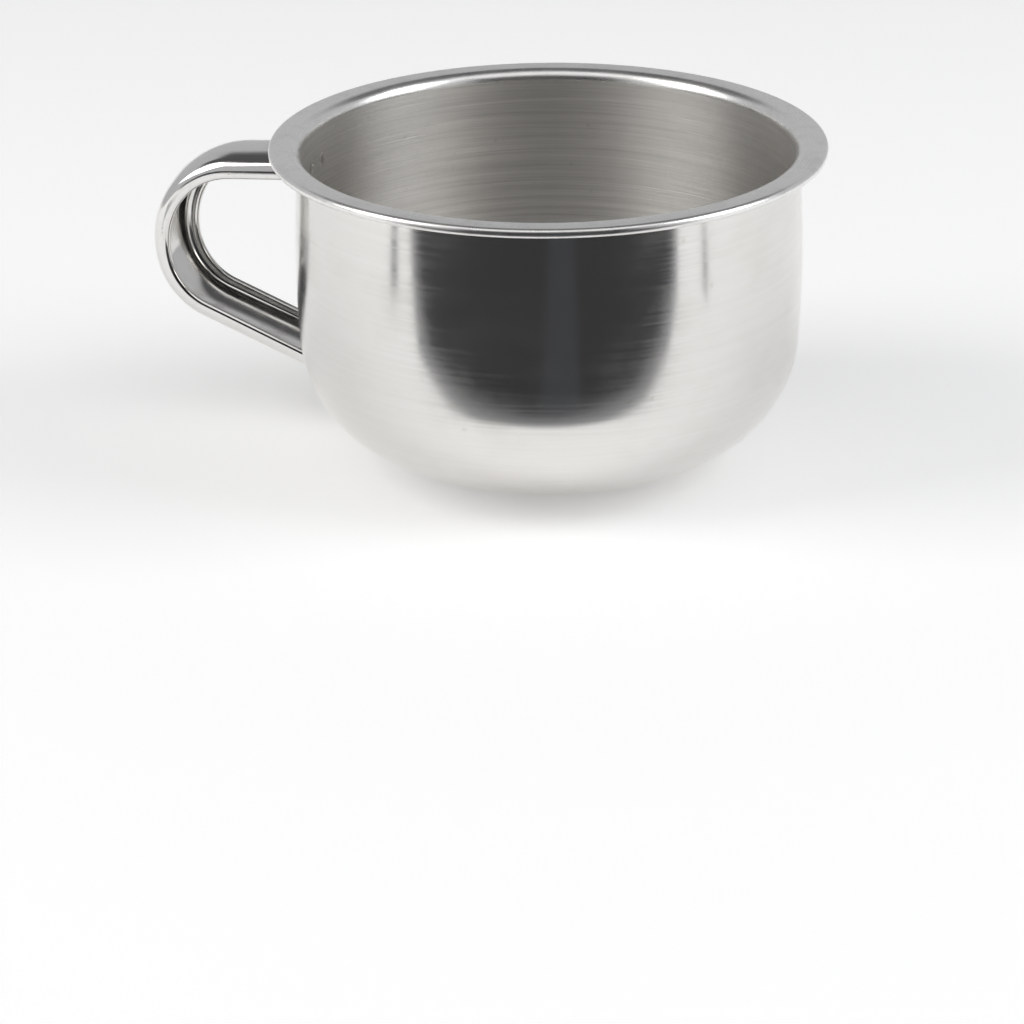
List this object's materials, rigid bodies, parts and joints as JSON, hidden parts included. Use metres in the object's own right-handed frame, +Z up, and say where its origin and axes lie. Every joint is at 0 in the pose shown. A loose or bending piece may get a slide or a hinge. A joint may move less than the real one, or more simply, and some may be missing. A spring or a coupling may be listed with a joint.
{
  "type": "shaving mug",
  "caption": "Round sheet steel shaving mug with a curled rim, a barrelled wall, a rounded bottom and a pressed one-finger loop handle welded on.",
  "frame": {"origin": "centre of the flat underside that the mug stands on, on the bowl's axis", "axes": "+Z up along the bowl's axis, and the handle points along -X in the plane Y = 0"},
  "size_m": [0.1259, 0.1, 0.059],
  "materials": {
    "bowl_steel": "mirror polished outside with very faint turning lines, satin turned inside and on the rim",
    "handle_steel": "buffed to a mirror, with small pits and buffing marks",
    "weld_steel": "satin, slightly darker and dimpled"
  },
  "bodies": {
    "root": {"bowl": "bowl_steel", "handle": "handle_steel", "upper_spot_welds": "weld_steel", "lower_spot_welds": "weld_steel"}
  },
  "joints": []
}
